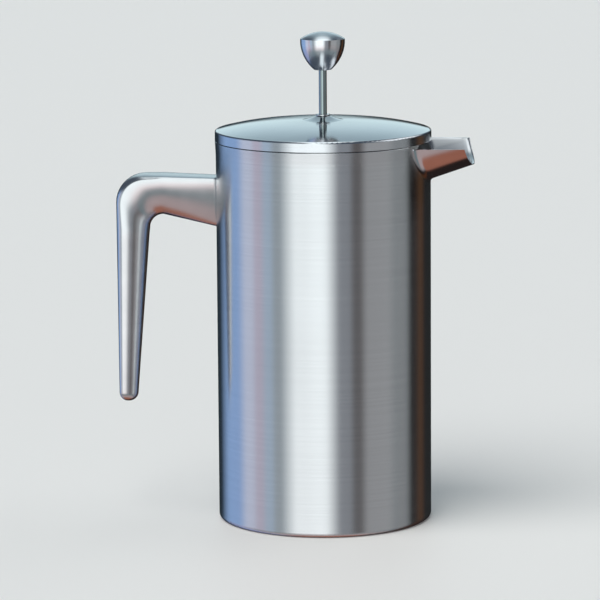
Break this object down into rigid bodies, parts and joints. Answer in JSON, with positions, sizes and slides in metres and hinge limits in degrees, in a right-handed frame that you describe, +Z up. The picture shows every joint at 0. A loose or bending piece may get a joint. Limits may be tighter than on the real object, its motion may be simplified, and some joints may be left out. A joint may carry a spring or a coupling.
{
  "type": "french press",
  "caption": "Straight cylindrical double-wall steel coffee press with a seven-shaped handle, a wide beak spout, a shallow domed lid and a rod plunger with a cup-shaped knob.",
  "frame": {"origin": "centre of the flat base, on the body's axis", "axes": "+Z up along the plunger rod, +X towards the spout, -X towards the handle"},
  "size_m": [0.1809, 0.1088, 0.247],
  "materials": {
    "brushed_shell": "brushed round the body",
    "vessel_steel": "satin",
    "spout_steel": "fine satin",
    "handle_steel": "satin cast",
    "lid_steel": "polished top, brushed band",
    "inner_steel": "satin pressed",
    "fitting_steel": "turned and polished",
    "rod_steel": "polished rod",
    "knob_steel": "turned and polished",
    "wire_steel": "bright wire",
    "seal_silicone": "matte silicone"
  },
  "bodies": {
    "vessel": {"outer_shell": "brushed_shell", "inner_vessel": "vessel_steel", "base_plate": "vessel_steel", "spout": "spout_steel", "handle": "handle_steel"},
    "seal": {"lid_gasket": "seal_silicone"},
    "lid": {"lid_cap": "lid_steel", "lid_plate": "inner_steel", "lid_skirt": "inner_steel", "pour_strainer": "inner_steel", "rod_bush": "fitting_steel", "bush_nut": "fitting_steel"},
    "plunger": {"plunger_rod": "rod_steel", "knob": "knob_steel", "rod_collar": "fitting_steel", "plate_washer": "fitting_steel", "spiral_plate": "inner_steel", "edge_spring": "wire_steel", "coarse_screen": "inner_steel", "fine_mesh": "wire_steel", "cross_plate": "inner_steel", "hub_nut": "fitting_steel"}
  },
  "joints": [
    {"name": "lid_lift", "type": "slide", "parent": "vessel", "child": "seal", "axis": [0, 0, 1], "range_m": [0, 0.2]},
    {"name": "lid_turn", "type": "hinge", "parent": "seal", "child": "lid", "pos_m": [0, 0, 0.1925], "axis": [0, 0, 1], "continuous": true},
    {"name": "plunger_slide", "type": "slide", "parent": "lid", "child": "plunger", "axis": [0, 0, 1], "range_m": [-0.008, 0.142]}
  ]
}
